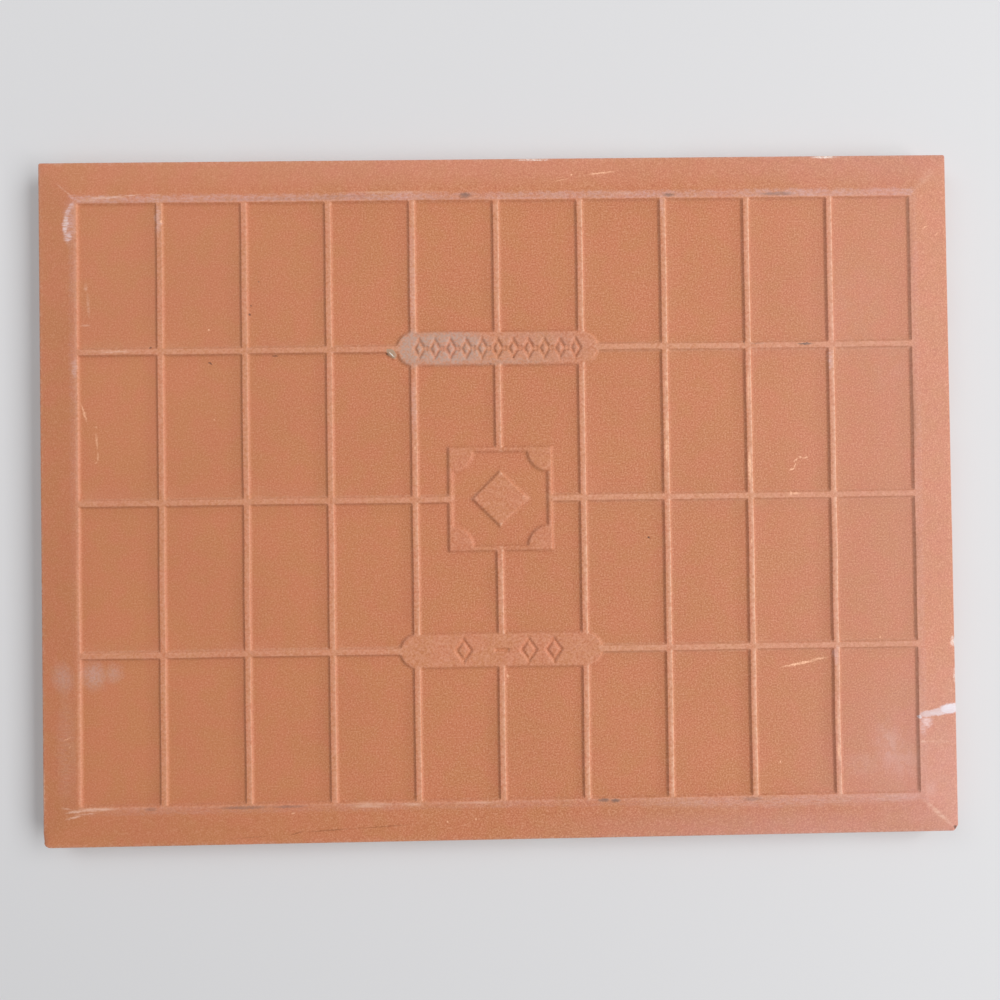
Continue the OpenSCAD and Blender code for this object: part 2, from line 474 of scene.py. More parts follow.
def weldedMesh(name, faces):
    # Corners that fall on one spot become one vertex, and the faces are kept as they come
    walls = faces["walls"].reshape(-1, 4, 3)
    fours = np.concatenate([faces["back"][0], walls, faces["face"][0]])
    threes = np.concatenate([faces["back"][1], faces["face"][1]])
    corners = np.concatenate([fours.reshape(-1, 3), threes.reshape(-1, 3)])
    spots, which = np.unique(np.round(corners, 5), axis=0, return_inverse=True)
    sizes = np.concatenate([np.full(len(fours), 4), np.full(len(threes), 3)])
    mesh = bpy.data.meshes.new(name)
    mesh.vertices.add(len(spots))
    mesh.vertices.foreach_set("co", (spots / metre).astype(np.float32).ravel())
    mesh.loops.add(len(corners))
    mesh.loops.foreach_set("vertex_index", which.ravel().astype(np.int32))
    mesh.polygons.add(len(sizes))
    mesh.polygons.foreach_set("loop_start", (np.cumsum(sizes) - sizes).astype(np.int32))
    middles = np.concatenate([fours[:, :, 0].mean(1), threes[:, :, 0].mean(1)])
    finish = np.searchsorted(clayZones[1:-1], middles).astype(np.int32)
    firstFace = len(faces["back"][0]) + len(walls)
    finish[firstFace:len(fours)] = len(clayZones) - 1
    finish[len(fours) + len(faces["back"][1]):] = len(clayZones) - 1
    mesh.polygons.foreach_set("material_index", finish)
    mesh.polygons.foreach_set("use_smooth", np.ones(len(sizes), bool))
    layer = mesh.uv_layers.new(name="OFBake")
    layer.data.foreach_set("uv", flatMap(faces).astype(np.float32).ravel())
    mesh.update(calc_edges=True)
    return mesh, spots


def addMask(mesh, name, values):
    # A number for every vertex, which the finishes read
    mesh.attributes.new(name, "FLOAT", "POINT").data.foreach_set("value", values.astype(np.float32))


wearAndLightPlaces = {
    # each band: how far from the flat top its middle lies, and its half width
    "shoulder": (-0.03, 0.2),  # painted highlight on the lit east edge of a short rib
    "frameWall": (0.25, 0.25),  # painted light on the shaded inner wall of the frame's east side
    "frameShare": 0.4,
    "longTop": (-0.1, 0.25),
    "longTopWear": (0.4, 0.2, 0.35),  # at the west end, more past the middle, less at the east end
    "longWall": (0.35, 0.3),
    "northWallLight": (0.8, 0.3),  # painted light on the north walls: to the west, and how much less to the east
    # painted light on the south walls, growing to the east
    "southWallLight": 0.65,
    # painted shade at the foot of the long ribs' south walls
    "longShade": (0.2, 0.25),
    "shadeShare": 1.2,
    "longSouth": (-30, 50),  # between these the painted light passes from the north wall to the south wall
    "longEnd": (50, 85),  # and between these the tops get less worn
    "inMarks": 0.6,  # how much less worn the sunk marks are
    "emblem": 0.7,
    # how far the painted shade at the foot of a wall reaches
    "footReach": 0.5,
    "rimReach": 0.35,
    "rimEast": 0.15,
    "rimDrop": 0.4,  # how far the rim's wear reaches down the sides
    "ridgeNorth": 1.0,
    "ridgeSouth": 0.34,
    "ridgeEast": 0.25,
    "ridgeWest": (0.08, 0.28),  # at the south and the north end
    "ridgeTurn": (-20, 15),  # between these it goes from one to the other
    "ridgeUneven": (0.85, 0.3),
}
rimLevel = tileThick - tileForm["borderFall"] - tileForm["backArris"] - 0.1  # just under the rim


def band(distance, place):
    # 1 in the middle of a band, fading on both sides as a bell does
    middle, half = place
    return np.exp(-((distance - middle) / half) ** 2)


def offLine(place, pitch):
    # How far a place is past the nearest line of the lattice
    return place - np.round(place / pitch) * pitch


def maskTops(dx, dy, distance, inside):
    # Raised tops, less in the sunk marks and on the emblem
    tops = np.where(inside, wallHeight(distance), 0) * (1 - wearAndLightPlaces["inMarks"] * grooveDepth(dx, dy))
    half = tileForm["emblemSide"] / 2
    emblem = boxDistance(dx - tileForm["emblemShift"], dy, half, half)
    return tops * np.where(emblem < 0.3, wearAndLightPlaces["emblem"], 1)


def maskShoulders(dx, distance, inside, onRib, nearColumn):
    # A painted highlight on the lit east shoulder of the short ribs, and painted light on the shaded
    # wall across from them on the frame
    onEast = onRib & nearColumn & (offLine(dx, pitchX) > 0)
    shoulder = np.where(onEast, band(distance, wearAndLightPlaces["shoulder"]), 0)
    onFrame = inside & (dx > gridX - draft * 3) & nearColumn
    across = wearAndLightPlaces["frameShare"] * band(distance, wearAndLightPlaces["frameWall"])
    return np.where(onFrame, across, shoulder)


def maskLongRibs(x, dy, distance):
    # Wear on the long ribs' tops, painted light on their walls, and painted shade at the foot of their
    # south walls
    northWall = offLine(dy, pitchY) > 0
    eastward = smoothStep(x, *wearAndLightPlaces["longSouth"])
    middle, half = wearAndLightPlaces["longTop"]
    worn = band(np.maximum(distance - middle, 0), (0, half))
    base, more, less = wearAndLightPlaces["longTopWear"]
    worn = worn * (base + more * eastward - less * smoothStep(x, *wearAndLightPlaces["longEnd"]))
    # Painted light on the walls, added to the tops' wear: the north walls to the west, the south walls
    # to the east
    base, less = wearAndLightPlaces["northWallLight"]
    wallLight = np.where(northWall, base - less * eastward, wearAndLightPlaces["southWallLight"] * eastward)
    worn += band(distance, wearAndLightPlaces["longWall"]) * wallLight
    # Painted shade at the foot of the south walls, fading out to the east
    shaded = wearAndLightPlaces["shadeShare"] * band(distance, wearAndLightPlaces["longShade"])
    shaded = shaded * ~northWall * (1 - eastward)
    return worn, shaded


def maskRim(x, y, z):
    # The arris round the back, fading down the sides
    eastSide = (x - tileLength / 2 > np.abs(y) - tileWidth / 2) & (x > 0)
    rim = np.exp(-np.maximum(edgeDistance(x, y), 0) / wearAndLightPlaces["rimReach"])
    down = band(np.maximum(rimLevel - z, 0), (0, wearAndLightPlaces["rimDrop"]))
    return rim * np.where(eastSide, wearAndLightPlaces["rimEast"], 1) * down * (z > tileThick / 2)


def maskTile(mesh, spots):
    # Where wear, painted light and painted shade go, a number for every vertex: raised tops, the
    # painted highlight on short ribs' shoulders, long ribs' wear and painted light, painted shade at
    # the foot of each wall, the rim, and how worn the frame's ridge is on each side
    x, y, z = spots.T
    dx, dy = wandered(x, y)
    onBack = z > rimLevel
    overX, overY = np.abs(dx) - gridX, np.abs(dy) - gridY
    distance = raisedDistance(dx, dy)
    inside = np.maximum(overX, overY) < 0
    toColumn, toRow = ribDistances(dx, dy)
    onRib = inside & (np.minimum(toColumn, toRow) < distance + 0.2)
    onLong = onRib & (toRow < toColumn) & (np.abs(dy) < gridY - pitchY / 2)
    worn, shaded = maskLongRibs(x, dy, distance)
    # Painted shade at the foot of every wall
    away = np.maximum(distance - draft, 0) / wearAndLightPlaces["footReach"]
    foot = np.where(inside, np.exp(-away) * (distance > draft / 2), 0)
    addMask(mesh, "tops", maskTops(dx, dy, distance, inside) * onBack)
    addMask(mesh, "shoulder", maskShoulders(dx, distance, inside, onRib, toColumn < toRow) * onBack)
    addMask(mesh, "long", np.where(onLong, worn, 0) * onBack)
    addMask(mesh, "foot", (foot + np.where(onLong, shaded, 0)) * onBack)
    addMask(mesh, "rim", maskRim(x, y, z))
    southWest, northWest = wearAndLightPlaces["ridgeWest"]
    west = southWest + (northWest - southWest) * smoothStep(y, *wearAndLightPlaces["ridgeTurn"])
    acrossX = np.where(dx < 0, west, wearAndLightPlaces["ridgeEast"])
    acrossY = np.where(dy > 0, wearAndLightPlaces["ridgeNorth"], wearAndLightPlaces["ridgeSouth"])
    side = np.where(overY > overX, acrossY, acrossX)
    level, uneven = wearAndLightPlaces["ridgeUneven"]
    addMask(mesh, "ridge", side * (level + uneven * rollingNoise(x, y, wave=17, seed=12)))


tileFaces = makeTileFaces()
tileMesh, tileSpots = weldedMesh("tile_biscuit", tileFaces)
maskTile(tileMesh, tileSpots)
tile = bpy.data.objects.new("tile_biscuit", tileMesh)
bpy.context.scene.collection.objects.link(tile)
print(f"tile: {len(tileMesh.vertices)} vertices, {len(tileMesh.polygons)} faces")


def paint(red, green, blue):
    # A colour as a screen shows it, made linear
    parts = [channel / 255 for channel in (red, green, blue)]
    return tuple(c / 12.92 if c <= 0.04045 else ((c + 0.055) / 1.055) ** 2.4 for c in parts) + (1.0,)


def addNode(tree, kind, values, **settings):
    # A node with its sockets filled: another node's output is linked, anything else is set
    made = tree.nodes.new("ShaderNode" + kind)
    for name, value in settings.items():
        setattr(made, name, value)
    for key, value in values.items():
        if isinstance(value, bpy.types.NodeSocket):
            tree.links.new(value, made.inputs[key])
        else:
            made.inputs[key].default_value = value
    return made


def noise(tree, place, scale, detail=2.0, rough=0.5, space="3D", output="Fac"):
    # Clouds that change scale times a millimetre. Over x and y only, in 2D, they are quicker.
    values = {"Vector": place, "Scale": scale, "Detail": detail, "Roughness": rough}
    return addNode(tree, "TexNoise", values, noise_dimensions=space).outputs[output]


def spread(tree, value, start, end, low=0.0, high=1.0):
    # start to end becomes low to high along an S curve
    values = {"Value": value, "From Min": start, "From Max": end, "To Min": low, "To Max": high}
    return addNode(tree, "MapRange", values, interpolation_type="SMOOTHSTEP").outputs["Result"]


def reckon(tree, operation, first, second):
    return addNode(tree, "Math", {0: first, 1: second}, operation=operation).outputs[0]


def times(tree, *factors):
    # All the factors multiplied together
    product = factors[0]
    for factor in factors[1:]:
        product = reckon(tree, "MULTIPLY", product, factor)
    return product


def onVector(tree, operation, first, second, output=0):
    return addNode(tree, "VectorMath", {0: first, 1: second}, operation=operation).outputs[output]


def blendColours(tree, share, first, second, blend="MIX"):
    # first where the share is 0 and second where it is 1
    made = addNode(tree, "Mix", {0: share, 6: first, 7: second}, data_type="RGBA", blend_type=blend)
    return made.outputs[2]


def shade(tree, share, colour, factor):
    # The colour darkened towards a fixed part of itself
    return blendColours(tree, share, colour, (factor, factor, factor, 1.0), "MULTIPLY")


def mask(tree, name):
    # The number that addMask gave each vertex
    return addNode(tree, "Attribute", {}, attribute_name=name).outputs["Fac"]


def ragged(tree, place, scale, amount):
    # The place shifted about by a noise, so that the edges laid on it turn ragged
    clouds = noise(tree, place, scale, space="2D", output="Color")
    stray = onVector(tree, "SUBTRACT", clouds, (0.5, 0.5, 0.5))
    return onVector(tree, "ADD", place, onVector(tree, "MULTIPLY", stray, (amount, amount, amount)))


def startMaterial(name):
    # A new material, with the place of the shaded point in millimetres
    material = bpy.data.materials.new(name)
    material.use_nodes = True
    tree = material.node_tree
    shader = tree.nodes["Principled BSDF"]
    here = addNode(tree, "TexCoord", {}).outputs["Object"]
    place = addNode(tree, "VectorMath", {0: here, "Scale": metre}, operation="SCALE").outputs[0]
    return material, tree, shader, place


biscuitLook = {
    "ochre": (200, 128, 84),
    "red": (204, 125, 87),
    "pale": (250, 190, 160),  # sand that catches the light, and the pits between
    "pit": (144, 40, 0),
    "worn": (226, 160, 132),
    # the painted highlight on the short ribs' lit shoulders, and wear and painted light on the long
    # ribs
    "edge": (246, 196, 166),
    "ridge": (220, 184, 182),
    "rim": (222, 186, 170),
    # painted shade at the foot of the walls
    "shadeColour": (140, 80, 50),
    "crumb": (174, 148, 124),
    "glint": (244, 240, 232),
    "patchScale": 0.17,  # each scale is how many times a millimetre a pattern changes
    "patchLevels": (0.32, 0.68),  # and its levels are where it sets in and where it is full
    "cloudScale": 0.035,
    "cloudLevels": (0.35, 0.7),
    "cloudShade": 0.97,
    "sandScale": 3.2,
    "sandStretch": (0.95, 0.95, 1.0),
    "paleLevels": (0.5, 0.72),
    "pitLevels": (0.5, 0.28),
    "sandShare": (0.155, 0.28),  # how much the sand shows to the west and to the east
    "sandFade": (-85, 10),  # each fade is where the west's share starts and the east's is reached
    "sandEast": (60, 95, 1.0, 0.95),  # between these it gets a little less again
    "beadScale": 1.6,
    "beadLevels": (0.35, 0.68),
    "beadShare": (0.05, 0.46),
    "crumbleScale": 1.5,
    "crumbleLevels": (0.3, 0.7),
    "crumbleShare": (0.2, 0.9),
    "shoulderShare": (0.25, 0.95),  # painted highlight on the shoulders, west and east
    "shoulderFade": (-80, 50),
    "longShare": (0.3, 0.44),
    "longFade": (-60, 40),
    # how much painted shade lies at the foot of the walls
    "footShare": 0.12,
    "ridgeScale": 1.4,
    "ridgeStretch": (0.8, 1.4, 1.0),
    "mottleLevels": (0.62, 0.35),
    "ridgeShare": (0.18, 0.46),
    "ragLevels": (0.3, 0.7),
    "ragReach": (-0.25, 0.25),
    "ridgeInner": (-0.45, -0.15),  # the band starts between these two distances past the ridge
    "ridgeOuter": (1.75, 0.75),  # and has faded out at the first of these
    "rimScale": 1.3,
    "dashLevels": (0.4, 0.66),
    "rimShare": (0.05, 0.6),
    "roughness": 0.6,
    "grainScale": 2.2,
    "grainHeight": 0.018,
}

# The patterns that break up the marks: how many times a millimetre each one changes, in x and y
wearPatterns = {"cloud": (0.4, 0.4), "drag": (0.35, 1.9), "strokes": (0.6, 3.2), "speck": (1.7, 1.7)}

# How ragged the marks' edges are: how many times a millimetre they stray, and over how many
wearEdges = {"rough": (0.7, 1.3), "fine": (1.6, 0.45), "crumb": (1.4, 0.5)}
wearLevels = (0.35, 0.6)  # of every pattern that breaks up the marks

# Each mark: where its middle is, its half length and half width, its turn in degrees and how much
# it covers. edge is the share of it that fades out and patch how far the pattern breaks it up.
# Where rough is false, the fine edges are used.
wearMarks = {
    "veil": {
        "colour": (231, 162, 146), "edge": 1.0, "pattern": "cloud", "patch": 0.08, "rough": True,
        "marks": [(0, 73, 120, 8, 0, 0.24)],
    },
    # painted sheen: a whitish veil over the east edge and its corners, where the lamp's sheen falls
    "eastSheen": {
        "colour": (222, 178, 188), "edge": 1.0, "pattern": "cloud", "patch": 0.15, "rough": True,
        "marks": [
            (104, 0, 60, 300, 0, 0.1), (102, -68, 50, 62, 0, 0.24), (70, -74, 80, 10, 0, 0.2),
            (92, 76, 60, 20, 0, 0.15),
        ],
    },
    "haze": {
        "colour": (222, 180, 172), "edge": 0.95, "pattern": "cloud", "patch": 0.6, "rough": True,
        "marks": [
            (84.8, -56.0, 4.4, 8.0, 8, 0.34), (87.5, -59.0, 5, 5, 0, 0.22),
            (79.0, -59.5, 6, 4, 0, 0.15), (87, 26.5, 6, 9, -20, 0.06),
            (93.4, -65.5, 2.2, 3.2, -30, 0.2), (78, 40, 12, 20, 0, 0.06),
        ],
    },
    "smudge": {
        "colour": (208, 186, 184), "edge": 0.95, "pattern": "speck", "patch": 0.5, "rough": True,
        "marks": [
            (-88.4, -37.4, 3.8, 4.4, 8, 0.38), (-84.2, -37.0, 3.0, 3.2, -20, 0.26),
            (-95.2, -37.8, 3.6, 4.8, 10, 0.3),
        ],
    },
    "dust": {
        "colour": (186, 162, 150), "edge": 0.5, "pattern": "speck", "patch": 0.6, "rough": True,
        "marks": [
            (-11, 32.8, 13, 5, 0, 0.72), (-18.6, 32.8, 3.6, 5, 0, 0.72), (8, 32.8, 16, 5, 0, 0.2),
            (0, 29.7, 15, 0.9, 0, 0.35),
        ],
    },
    "lilac": {
        "colour": (232, 198, 194), "edge": 0.7, "pattern": "strokes", "patch": 0.75, "rough": True,
        "marks": [
            (-93.6, 60.7, 1.0, 3.6, -3, 1.0), (-93.2, 58.0, 1.3, 1.5, 0, 0.9),
            (-92.7, 64.2, 0.9, 2.4, -30, 0.75), (-92.9, 61, 2.0, 5.6, 0, 0.35),
            (-94.6, -53.0, 3.0, 17, 0, 0.1), (-91.8, 29.4, 0.8, 2.8, 0, 0.3),
            (-18.4, 47.6, 0.8, 17, 0, 0.2), (-18.4, 19.8, 0.8, 8, 0, 0.22),
            (-73.5, 61.6, 1.0, 4.4, 0, 0.38), (73.2, 29.2, 0.8, 3.0, 0, 0.4),
            (73.2, -35.6, 0.7, 3, 0, 0.35), (36.6, 63.6, 0.7, 3, 0, 0.25),
            (58, -67.3, 36, 1.8, 0, 0.18), (85, -66.9, 8, 1.2, 0, 0.22),
            (93.0, -50.4, 2.0, 1.8, -25, 0.85), (92.1, -51.6, 1.0, 2.2, 0, 0.45),
        ],
    },
    "rub": {
        "colour": (238, 192, 168), "edge": 0.75, "pattern": "drag", "patch": 0.7, "rough": False,
        "marks": [
            (-88.3, -66.2, 6.5, 0.55, 1, 0.68), (-92.7, -66.6, 3.0, 0.36, 6, 0.74),
            (-93.1, -67.9, 2.4, 0.34, 14, 0.7), (-90.2, -67.1, 3.2, 0.26, 5, 0.6),
            (-94.5, -66.0, 1.7, 0.3, -6, 0.6), (-84.5, 66.6, 5.5, 0.42, 2, 0.6),
            (-88.8, 66.0, 3.4, 0.34, 0, 0.5), (-78.7, 67.1, 2.8, 0.18, 6, 0.85),
            (-74.6, 67.2, 2.8, 0.16, -1, 0.65), (-22.5, 67.2, 15, 0.4, 0, 0.4),
            (-28.8, -66.3, 6.5, 0.9, 0, 0.45), (-20, -66.3, 3.4, 0.5, 0, 0.5),
            (-6, -66.2, 6, 0.4, 0, 0.35), (28, 66.5, 5, 0.6, 0, 0.25), (-89.5, 47.2, 0.6, 1.3, 0, 0.36),
            (-89.0, 43.2, 0.5, 3.6, 3, 0.28), (-89.6, 38.8, 1.4, 0.36, 0, 0.32),
            (95.2, -70.4, 6.2, 0.66, -42, 0.55), (-99.7, -62, 0.3, 6.5, 0, 0.5),
            (-93.8, 68.3, 3.4, 0.28, -39, 0.36), (95.0, 69.2, 4.2, 1.2, 44, 0.22),
            (92.1, -54.8, 1.0, 0.5, -10, 0.6), (95.6, -54.9, 4.4, 0.36, -3, 0.34),
            (-84, 32.9, 7, 0.4, 0, 0.5),
        ],
    },
    "grey": {
        "colour": (112, 92, 84), "edge": 0.7, "pattern": "drag", "patch": 0.3, "rough": False,
        "marks": [
            (-6.5, 66.3, 1.8, 0.9, 0, 0.7), (38.2, 66.0, 1.7, 0.56, 0, 0.6),
            (62.0, 66.0, 5.2, 0.56, 0, 0.5), (-56.4, -66.3, 6.5, 0.5, 0, 0.5),
            (-46.6, -66.3, 5.0, 0.44, 0, 0.45), (-76.2, -66.3, 1.7, 0.6, 0, 0.4),
            (21.8, -66.2, 1.7, 0.56, 0, 0.75), (24.4, -66.3, 1.4, 0.56, 0, 0.75),
            (54.1, -66.5, 2.8, 0.7, 0, 0.35), (67.6, 32.85, 2.3, 0.32, 0, 0.9),
            (57.2, 33.1, 2.6, 0.2, 0, 0.3), (-33, 66.4, 8, 0.3, 0, 0.2), (-45, 65.9, 27, 0.5, 0, 0.14),
        ],
    },
    "chalk": {
        "colour": (248, 232, 222), "edge": 0.7, "pattern": "speck", "patch": 0.7, "rough": False,
        "marks": [
            (-93.7, 60.8, 0.7, 3.2, -3, 0.3), (98.6, -47.1, 2.0, 0.4, 7, 0.6),
            (8.5, 74.4, 5.0, 0.34, 0, 0.75), (73.0, 74.4, 3.6, 0.4, 0, 1.0),
            (99.5, -33.0, 0.7, 1.6, 0, 0.7), (99.8, -40.6, 0.5, 2.2, 0, 0.5),
        ],
    },
    "scratch": {
        "colour": (255, 196, 158), "edge": 0.65, "pattern": "speck", "patch": 0.55, "rough": False,
        "marks": [
            (36.8, 10, 0.4, 3.4, 0, 0.9), (36.9, 15.4, 0.34, 2.4, 0, 0.6),
            (36.9, 24.4, 0.34, 0.9, 0, 0.6), (55.0, 6.2, 0.5, 4.6, 0, 0.95),
            (55.0, 23.5, 0.34, 4.4, 0, 0.55), (73.4, -56.4, 0.34, 2.3, 0, 0.75),
            (73.4, -49.8, 0.3, 1.0, 0, 0.6), (64.0, 0.1, 0.34, 0.7, 0, 0.9),
            (65.0, 0.0, 1.5, 0.34, 0, 0.8), (55.1, -10.3, 0.36, 0.8, 0, 0.75),
            (-18.2, 11, 0.34, 0.5, 0, 0.9), (-72.9, 61.2, 0.26, 0.5, 0, 1.0),
            (64.4, 5.3, 0.8, 0.24, 10, 0.9), (65.1, 6.1, 0.24, 0.8, -20, 0.9),
            (65.3, 7.3, 0.24, 0.8, -40, 0.85), (66.3, 8.0, 0.7, 0.24, -25, 0.85),
            (67.4, 7.8, 0.9, 0.26, 14, 0.9), (65.3, -37.3, 5.0, 0.36, 10, 1.0),
            (69.6, -36.3, 2.2, 0.34, 6, 0.7), (23.6, 71.2, 4.1, 0.22, 6, 0.95),
            (16.9, 70.9, 0.28, 0.28, 0, 1.0), (14.8, 69.7, 2.2, 0.16, 10, 0.55),
            (-90.1, 19.7, 0.3, 2.7, 17, 0.58), (-87.4, 13.6, 0.3, 2.3, 4, 0.48),
            (-87.2, 10.2, 0.28, 1.3, 0, 0.48), (-87.6, 8.8, 0.6, 0.24, 20, 0.4),
            (-87.5, 16.6, 0.36, 0.26, 0, 0.4), (94.9, 58.4, 1.1, 0.22, 30, 0.55),
            (97.6, 57.0, 0.8, 0.2, 45, 0.4), (-12.3, -70.4, 0.3, 0.3, 0, 0.85),
            (-6.1, -69.9, 0.32, 0.32, 0, 0.95), (-45.6, -67.8, 0.6, 0.18, 0, 0.6),
            (60.7, -58.7, 0.34, 0.34, 0, 0.95), (-62.9, 37.5, 0.28, 0.28, 0, 0.95),
            (-61.9, 17.9, 0.26, 0.26, 0, 0.8), (83.2, -31.8, 0.32, 0.32, 0, 0.7),
            (-94.3, -51.0, 1.2, 0.22, 24, 0.5), (-93.6, -52.6, 0.6, 0.18, 40, 0.35),
            (1.3, -39.0, 0.3, 0.7, 20, 0.6),
        ],
    },
    # dark lines along fine creases in the bottom border: painted shade, as the mesh has no creases
    "creaseShade": {
        "colour": (146, 84, 48), "edge": 0.9, "pattern": "cloud", "patch": 0.3, "rough": False,
        "marks": [
            (-45.0, -72.3, 2.2, 0.22, 16, 0.75), (-38.0, -71.8, 6.6, 0.3, 3, 0.6),
            (-26.5, -71.2, 9.0, 0.26, 3, 0.5), (-55.0, -73.1, 7.5, 0.18, 3, 0.4),
        ],
    },
    "flecksAndCrumbShadow": {
        "colour": (92, 58, 44), "edge": 0.6, "pattern": "speck", "patch": 0.1, "rough": False,
        "marks": [
            (32.6, -9.2, 0.46, 0.28, -35, 0.95), (-53.9, 40.7, 0.32, 0.34, 0, 0.8),
            (-53.6, 42.7, 0.2, 0.3, 0, 0.5), (-62.6, 30.2, 0.55, 0.22, -25, 0.85),
            (-48.5, 31.6, 0.9, 0.26, 0, 0.55), (-75.5, 33.7, 0.36, 0.26, 0, 0.7),
            # the dark mark at (-24.0, 31.7) is painted shadow on the crumb's west side
            (-24.0, 31.7, 0.5, 0.32, -50, 0.7), (99.3, -73.9, 0.5, 0.7, 30, 0.9),
            (-51.9, 47.9, 0.22, 0.22, 0, 0.5), (3.5, 30.7, 0.3, 0.26, 0, 0.45),
            (-1.5, 29.3, 0.36, 0.2, 0, 0.5), (54.2, 33.3, 0.3, 0.5, 0, 0.4),
        ],
    },
    "streak": {
        "colour": (230, 222, 229), "edge": 0.4, "pattern": "drag", "patch": 0.2, "rough": False,
        "marks": [
            (98.5, -47.8, 3.0, 1.35, 4, 0.95), (96.0, -48.4, 3.4, 1.0, 4, 0.62),
            (93.2, -48.7, 2.2, 0.8, 1, 0.5), (91.4, -49.3, 0.5, 0.5, 0, 0.8),
        ],
    },
}


def clayTone(tree, place):
    # Ochre and redder clay in patches of like lightness, with a few slow clouds that darken it
    patches = noise(tree, place, biscuitLook["patchScale"])
    patches = spread(tree, patches, *biscuitLook["patchLevels"])
    colour = blendColours(tree, patches, paint(*biscuitLook["ochre"]), paint(*biscuitLook["red"]))
    clouds = noise(tree, place, biscuitLook["cloudScale"])
    clouds = spread(tree, clouds, *biscuitLook["cloudLevels"])
    return shade(tree, clouds, colour, biscuitLook["cloudShade"])


def clayGrain(tree, place, colour):
    # Fine grains of sand, pale where a sharp noise peaks and dark where it dips, fainter to the west
    stretched = onVector(tree, "MULTIPLY", place, biscuitLook["sandStretch"])
    sand = noise(tree, stretched, biscuitLook["sandScale"], detail=1.0)
    x = addNode(tree, "SeparateXYZ", {0: place}).outputs[0]
    fromWest = spread(tree, x, *biscuitLook["sandFade"], *biscuitLook["sandShare"])
    amount = times(tree, fromWest, spread(tree, x, *biscuitLook["sandEast"]))
    pale = times(tree, spread(tree, sand, *biscuitLook["paleLevels"]), amount)
    pit = times(tree, spread(tree, sand, *biscuitLook["pitLevels"]), amount)
    colour = blendColours(tree, pale, colour, paint(*biscuitLook["pale"]))
    return blendColours(tree, pit, colour, paint(*biscuitLook["pit"]))


def topsWearAndPaintedLight(tree, place, colour):
    # Raised tops rubbed paler in beads, a painted highlight on the short ribs' lit shoulders, wear and
    # painted light on the long ribs, and painted shade at the foot of the walls
    beads = noise(tree, place, biscuitLook["beadScale"], rough=0.6)
    beads = spread(tree, beads, *biscuitLook["beadLevels"], *biscuitLook["beadShare"])
    share = times(tree, mask(tree, "tops"), beads)
    colour = blendColours(tree, share, colour, paint(*biscuitLook["worn"]))
    x = addNode(tree, "SeparateXYZ", {0: place}).outputs[0]
    crumble = noise(tree, place, biscuitLook["crumbleScale"], rough=0.6)
    crumble = spread(tree, crumble, *biscuitLook["crumbleLevels"], *biscuitLook["crumbleShare"])
    # A painted highlight on the short ribs' lit east shoulders, stronger to the east
    fromWest = spread(tree, x, *biscuitLook["shoulderFade"], *biscuitLook["shoulderShare"])
    share = times(tree, mask(tree, "shoulder"), fromWest, crumble)
    colour = blendColours(tree, share, colour, paint(*biscuitLook["edge"]))
    # Wear on the long ribs' tops and painted light on their walls
    fromWest = spread(tree, x, *biscuitLook["longFade"], *biscuitLook["longShare"])
    share = times(tree, mask(tree, "long"), fromWest, crumble)
    colour = blendColours(tree, share, colour, paint(*biscuitLook["edge"]))
    # Painted shade at the foot of the walls
    share = times(tree, mask(tree, "foot"), biscuitLook["footShare"])
    return blendColours(tree, share, colour, paint(*biscuitLook["shadeColour"]))


def wornRidge(tree, place, colour):
    # A pale band along the frame's ridge: how far outside the ridge a point lies, as the larger of
    # its two overhangs, between a straight inner edge and a ragged outer one
    over = onVector(tree, "SUBTRACT", place, (dieX, dieY, 0))
    over = onVector(tree, "SUBTRACT", onVector(tree, "ABSOLUTE", over, (0, 0, 0)), (gridX, gridY, 0))
    sides = addNode(tree, "SeparateXYZ", {0: over})
    beyond = reckon(tree, "MAXIMUM", sides.outputs[0], sides.outputs[1])
    stretched = onVector(tree, "MULTIPLY", place, biscuitLook["ridgeStretch"])
    streaks = noise(tree, stretched, biscuitLook["ridgeScale"], detail=3.0, rough=0.65)
    rags = spread(tree, streaks, *biscuitLook["ragLevels"], *biscuitLook["ragReach"])
    outer = spread(tree, reckon(tree, "ADD", beyond, rags), *biscuitLook["ridgeOuter"])
    inner = spread(tree, beyond, *biscuitLook["ridgeInner"])
    mottle = spread(tree, streaks, *biscuitLook["mottleLevels"], *biscuitLook["ridgeShare"])
    share = times(tree, outer, inner, mottle, mask(tree, "ridge"))
    return blendColours(tree, share, colour, paint(*biscuitLook["ridge"]))


def wornRim(tree, place, colour):
    # The arris round the back rubbed pale in dashes
    dashes = noise(tree, place, biscuitLook["rimScale"], detail=3.0, rough=0.7)
    atRim = mask(tree, "rim")
    dashes = spread(tree, dashes, *biscuitLook["dashLevels"], *biscuitLook["rimShare"])
    share = times(tree, atRim, dashes)
    return blendColours(tree, share, colour, paint(*biscuitLook["rim"]))


def markShare(tree, place, group, pattern):
    # How much of a point is covered: the most that any ellipse gives, fading over its edge from the
    # length of the place measured in its own half sizes, and broken up by a pattern
    total = None
    for x, y, halfLength, halfWidth, turn, strength in group["marks"]:
        spin = {"Vector": place, "Center": (x, y, 0), "Angle": -math.radians(turn)}
        turned = place
        if turn:
            turned = addNode(tree, "VectorRotate", spin, rotation_type="Z_AXIS").outputs[0]
        inHalves = (1 / halfLength, 1 / halfWidth, 0)
        fit = {0: turned, 1: inHalves, 2: (-x / halfLength, -y / halfWidth, 0)}
        across = addNode(tree, "VectorMath", fit, operation="MULTIPLY_ADD").outputs[0]
        reach = onVector(tree, "LENGTH", across, (0, 0, 0), "Value")
        cover = spread(tree, reach, 1.0, 1.0 - group["edge"], 0.0, strength)
        total = cover if total is None else reckon(tree, "MAXIMUM", total, cover)
    return times(tree, total, spread(tree, pattern, *wearLevels, 1.0 - group["patch"], 1.0))


